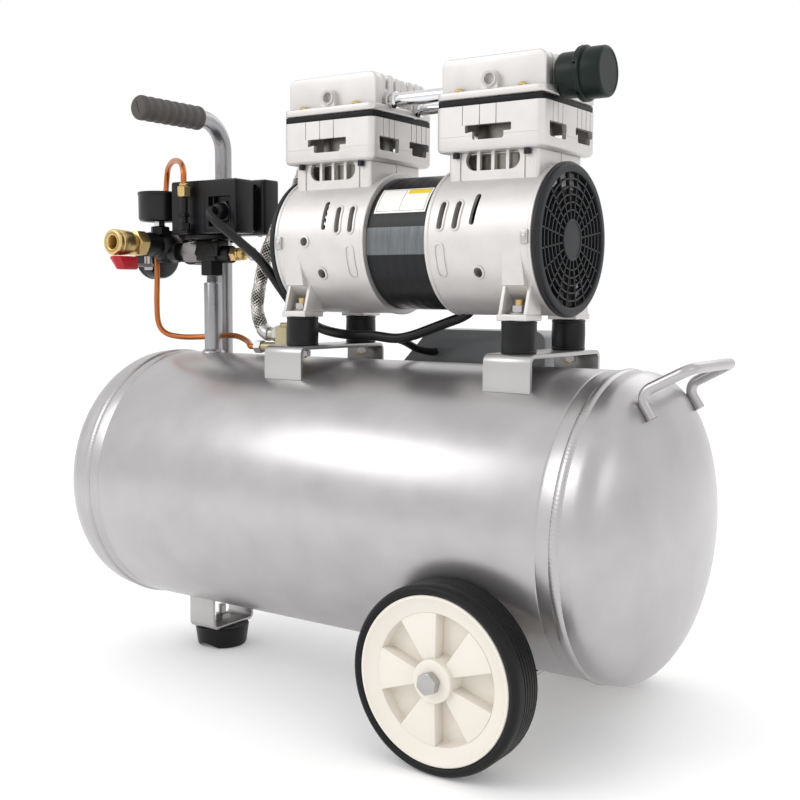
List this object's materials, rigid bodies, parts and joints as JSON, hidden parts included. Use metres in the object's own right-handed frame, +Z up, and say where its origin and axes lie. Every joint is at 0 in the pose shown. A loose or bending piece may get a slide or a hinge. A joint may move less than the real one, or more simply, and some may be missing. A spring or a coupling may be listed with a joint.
{
  "type": "air compressor",
  "caption": "Portable oil-free air compressor: twin-cylinder motor pump on a horizontal tank with wheels, foot, push handle, pressure switch, regulator, gauges and outlet coupler.",
  "frame": {"origin": "middle of the bounding box at the level of the ground, under the receiver", "axes": "+Z up, +X along the receiver towards the wheels, -Y towards the outlet coupler's mouth"},
  "size_m": [0.656, 0.3376, 0.5745],
  "materials": {
    "tank_paint": "satin",
    "zinc": "satin",
    "cast_aluminium": "satin",
    "black_plastic": "satin",
    "filter_plastic": "satin",
    "mount_rubber": "matte",
    "tyre_rubber": "matte",
    "wheel_plastic": "satin",
    "steel": "satin",
    "chrome": "polished",
    "brass": "satin",
    "copper": "satin",
    "red_vinyl": "gloss",
    "grey_paint": "satin",
    "grip_rubber": "matte",
    "laminations": "satin",
    "cable_sheath": "matte"
  },
  "bodies": {
    "machine": {"tank_barrel": "tank_paint", "tank_left_end": "tank_paint", "tank_right_end": "tank_paint", "lifting_handle": "tank_paint", "push_handle_tube": "tank_paint", "handle_grip": "grip_rubber", "standpipe": "tank_paint", "left_saddle": "zinc", "right_saddle": "zinc", "foot_bracket": "zinc", "rubber_foot": "mount_rubber", "axle_bracket": "zinc", "front_axle_bolt": "zinc", "rear_axle_bolt": "zinc", "left_front_mount": "mount_rubber", "left_rear_mount": "mount_rubber", "right_front_mount": "mount_rubber", "right_rear_mount": "mount_rubber", "left_crankcase": "cast_aluminium", "right_crankcase": "cast_aluminium", "stator_core": "laminations", "left_fan_cover": "black_plastic", "right_fan_cover": "black_plastic", "left_cylinder": "cast_aluminium", "right_cylinder": "cast_aluminium", "left_head_gasket": "mount_rubber", "right_head_gasket": "mount_rubber", "left_cylinder_head": "cast_aluminium", "right_cylinder_head": "cast_aluminium", "front_transfer_tube": "chrome", "rear_transfer_tube": "chrome", "intake_filter": "filter_plastic", "pressure_switch_base": "black_plastic", "pressure_switch_cover": "black_plastic", "manifold": "black_plastic", "regulator_body": "black_plastic", "outlet_gauge": "black_plastic", "tank_gauge": "black_plastic", "coupler_body": "brass", "unloader_tube": "copper", "safety_valve": "brass", "braided_hose": "steel", "check_valve": "brass", "capacitor_box": "grey_paint", "motor_cable": "cable_sheath"},
    "front_wheel": {"front_tyre": "tyre_rubber", "front_wheel_hub": "wheel_plastic"},
    "rear_wheel": {"rear_tyre": "tyre_rubber", "rear_wheel_hub": "wheel_plastic"},
    "rotor": {"crankshaft": "steel", "left_fan": "black_plastic", "right_fan": "black_plastic"},
    "left_piston": {"left_piston": "cast_aluminium"},
    "right_piston": {"right_piston": "cast_aluminium"},
    "regulator_knob": {"regulator_knob": "black_plastic"},
    "ball_valve_lever": {"ball_valve_lever": "red_vinyl"},
    "coupler_sleeve": {"coupler_sleeve": "brass"},
    "safety_valve_ring": {"safety_valve_ring": "steel"},
    "switch_lever": {"switch_lever": "red_vinyl"},
    "drain_cock": {"drain_cock": "brass"}
  },
  "joints": [
    {"name": "front_wheel_spin", "type": "hinge", "parent": "machine", "child": "front_wheel", "pos_m": [0.16495, -0.14345, 0.0757], "axis": [0, 1, 0], "continuous": true},
    {"name": "rear_wheel_spin", "type": "hinge", "parent": "machine", "child": "rear_wheel", "pos_m": [0.16495, 0.14345, 0.0757], "axis": [0, 1, 0], "continuous": true},
    {"name": "rotor_spin", "type": "hinge", "parent": "machine", "child": "rotor", "pos_m": [0.05955, 0, 0.42], "axis": [1, 0, 0], "continuous": true},
    {"name": "left_piston_stroke", "type": "slide", "parent": "machine", "child": "left_piston", "axis": [0, 0, 1], "range_m": [-0.007, 0.007]},
    {"name": "right_piston_stroke", "type": "slide", "parent": "machine", "child": "right_piston", "axis": [0, 0, 1], "range_m": [-0.007, 0.007]},
    {"name": "regulator_knob_turn", "type": "hinge", "parent": "machine", "child": "regulator_knob", "pos_m": [-0.27445, 0.02, 0.423], "axis": [0, 1, 0], "range_deg": [-360, 360]},
    {"name": "ball_valve_turn", "type": "hinge", "parent": "machine", "child": "ball_valve_lever", "pos_m": [-0.26845, -0.04, 0.404], "axis": [0, 0, 1], "range_deg": [0, 90]},
    {"name": "coupler_sleeve_pull", "type": "slide", "parent": "machine", "child": "coupler_sleeve", "axis": [0, 1, 0], "range_m": [0, 0.0035], "stiffness_N_per_m": 500},
    {"name": "safety_ring_pull", "type": "slide", "parent": "machine", "child": "safety_valve_ring", "axis": [1, 0, 0], "range_m": [0, 0.003], "stiffness_N_per_m": 400},
    {"name": "switch_lever_turn", "type": "hinge", "parent": "machine", "child": "switch_lever", "pos_m": [-0.19845, 0.0418, 0.466], "axis": [0, 1, 0], "range_deg": [0, 40]},
    {"name": "drain_cock_turn", "type": "hinge", "parent": "machine", "child": "drain_cock", "pos_m": [-0.00645, 0, 0.032], "axis": [0, 0, 1], "range_deg": [0, 360]}
  ]
}
